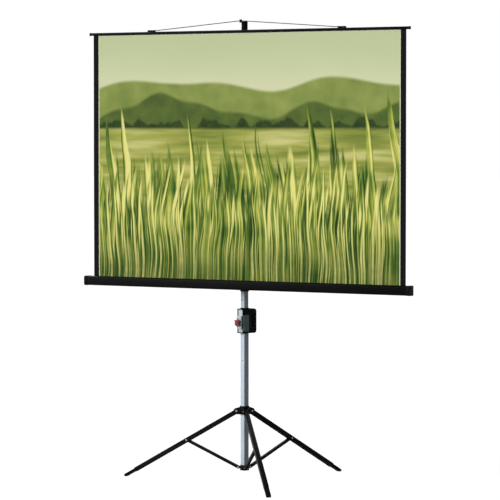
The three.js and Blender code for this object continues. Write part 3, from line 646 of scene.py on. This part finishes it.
# Oil-blackened wire is nearly black, with a thin satin line of light along it.
spring_steel = coating(
    "blackened_spring_wire",
    ("#17181A", "#232527"),
    patch=0.02,
    grain=0.0006,
    depth=0.00002,
    rough=0.45,
    **matt,
)
wire_low, wire_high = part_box("bail_wire")
clip_low, clip_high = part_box("bail_clip_left")
crest_band = 0.0004  # the wire's highest points lie within it
crest = [v.co for v in nodes["bail_wire"].data.vertices if v.co.z > wire_high.z - crest_band]
crest_middle = sum((Vector(point) for point in crest), Vector()) / len(crest)
wire_radius = 0.002
wire_bend = 0.010
handle_share = 0.6  # of a bend's length
foot_height = wire_low.z + wire_radius
crest_height = wire_high.z - wire_radius
crest_half = 0.012  # of the level stretch that hangs on the hook
clip_middle = (clip_low + clip_high) / 2
left_route = [
    Vector((clip_low.x, clip_middle.y, foot_height)),
    Vector((clip_high.x, clip_middle.y, foot_height)),
    Vector((crest_middle.x - crest_half, crest_middle.y, crest_height)),
]
right_route = [
    Vector((crest_middle.x + crest_half, crest_middle.y, crest_height)),
    Vector((-clip_high.x, clip_middle.y, foot_height)),
    Vector((-clip_low.x, clip_middle.y, foot_height)),
]
route = left_route + right_route

# A curve with a short bend at each corner of the route, where the straight stretches meet
bpy.ops.object.select_all(action="DESELECT")
bpy.ops.curve.primitive_bezier_curve_add()
wire = bpy.context.object
wire.name = "bail_spring_wire"
wire.data.dimensions = "3D"
spline = wire.data.splines[0]
spline.bezier_points.add(2 * len(route) - 4)
places = [(route[0], route[0], route[1])]
for before, corner, after in zip(route, route[1:], route[2:]):
    entry = corner + (before - corner).normalized() * wire_bend
    leave = corner + (after - corner).normalized() * wire_bend
    places += [(entry, before, corner), (leave, corner, after)]
places.append((route[-1], route[-2], route[-1]))


def handle(place, towards):
    """A curve handle that points along the wire, no longer than its share of a bend."""
    way = towards - place
    return place + way * min(1, handle_share * wire_bend / max(way.length, same_point))


for point, (place, behind, ahead) in zip(spline.bezier_points, places):
    point.handle_left_type = point.handle_right_type = "FREE"
    point.co = place
    point.handle_left = handle(place, behind)
    point.handle_right = handle(place, ahead)
wire.data.bevel_depth = wire_radius
wire.data.bevel_resolution = 3
wire.data.resolution_u = 8
wire.data.use_fill_caps = True
bpy.ops.object.convert(target="MESH")
wire = bpy.context.object
bpy.ops.object.shade_smooth_by_angle(angle=smooth_angle)
wire.data.materials.append(spring_steel)
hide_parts("bail_wire")
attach(wire, "bar")

# Hook: a moulded nylon cap, pushed over the end of the extension tube. The raised tip of the arm in
# front keeps the bail on.
dressed("hook_cap", "bail_hook_cap", black_nylon, edge=0.0014, steps=3)

# Studio: a plain pale floor that keeps the shadow, a soft light from the front left, a weaker one from
# behind left, and a white background that metal shows too. The camera stands where the photograph was
# taken from.
view_azimuth = math.radians(31.14)  # of the camera, round the mast from the front of the screen
view_distance = 13.99
view_height = 1.743
aim_azimuth = math.radians(31.03)  # of the way that it looks
aim_down = math.radians(2.407)
focal_px, frame_px = 2815, 500  # in pixels of the photograph
sensor_width = 36  # in millimetres
view_depth = 200

bpy.ops.object.camera_add(
    location=(
        mast_axis.x + view_distance * math.sin(view_azimuth),
        mast_axis.y - view_distance * math.cos(view_azimuth),
        view_height,
    ),
    rotation=(math.pi / 2 - aim_down, 0, aim_azimuth),
)
camera = bpy.context.object
camera.data.sensor_width = sensor_width
camera.data.lens = focal_px * sensor_width / frame_px
camera.data.clip_end = view_depth
bpy.context.scene.camera = camera

# Two soft suns: how far each leans from straight down, how far it turns from the front, and its strength
light_spread = math.radians(50)
for name, lean, turn, strength in (("key_light", 66, -38, 3.7), ("back_light", 60, -130, 1.2)):
    bpy.ops.object.light_add(type="SUN", rotation=(math.radians(lean), 0, math.radians(turn)))
    light = bpy.context.object
    light.name = name
    light.data.energy = strength
    light.data.angle = light_spread


def seen_directly(tree):
    """1 for rays that show the background: from the camera, from a reflection or through glass."""
    rays = add(tree, "LightPath").outputs
    shown = add(
        tree,
        "Math",
        {0: rays["Is Camera Ray"], 1: rays["Is Glossy Ray"]},
        operation="MAXIMUM",
    )
    return add(tree, "Math", {0: shown, 1: rays["Is Transmission Ray"]}, operation="MAXIMUM")


ambient = 0.12
world = bpy.data.worlds.new("studio_air")
bpy.context.scene.world = world
world.use_nodes = True
air_tree = world.node_tree
air_tree.nodes.clear()
level = add(air_tree, "MapRange", {"Value": seen_directly(air_tree), "To Min": ambient, "To Max": 1.0})
air = add(air_tree, "Background", {"Color": linear("#FFFFFF"), "Strength": level})
add(air_tree, "OutputWorld", {"Surface": air})

# The floor is rolled wall paint: matt, so that it takes the shadow and mirrors nothing. The glow that
# lifts it to nearly white is only for the eye, and lights no piece.
floor_size = 160
floor_glow = 0.9
bpy.ops.mesh.primitive_plane_add(size=floor_size, location=(0, 0, 0))
floor = bpy.context.object
floor.name = "studio_floor"
floor_paint, floor_tree = new_material("pale_floor_paint")
matt_paint = add(floor_tree, "BsdfDiffuse", {"Color": linear("#7C7C7C")})
glow = add(floor_tree, "Emission", {"Strength": floor_glow})
lifted_paint = add(floor_tree, "AddShader", {0: matt_paint, 1: glow})
floor_mix = add(
    floor_tree,
    "MixShader",
    {0: seen_directly(floor_tree), 1: matt_paint, 2: lifted_paint},
)
add(floor_tree, "OutputMaterial", {"Surface": floor_mix})
floor.data.materials.append(floor_paint)

bpy.context.scene.view_settings.view_transform = "Standard"
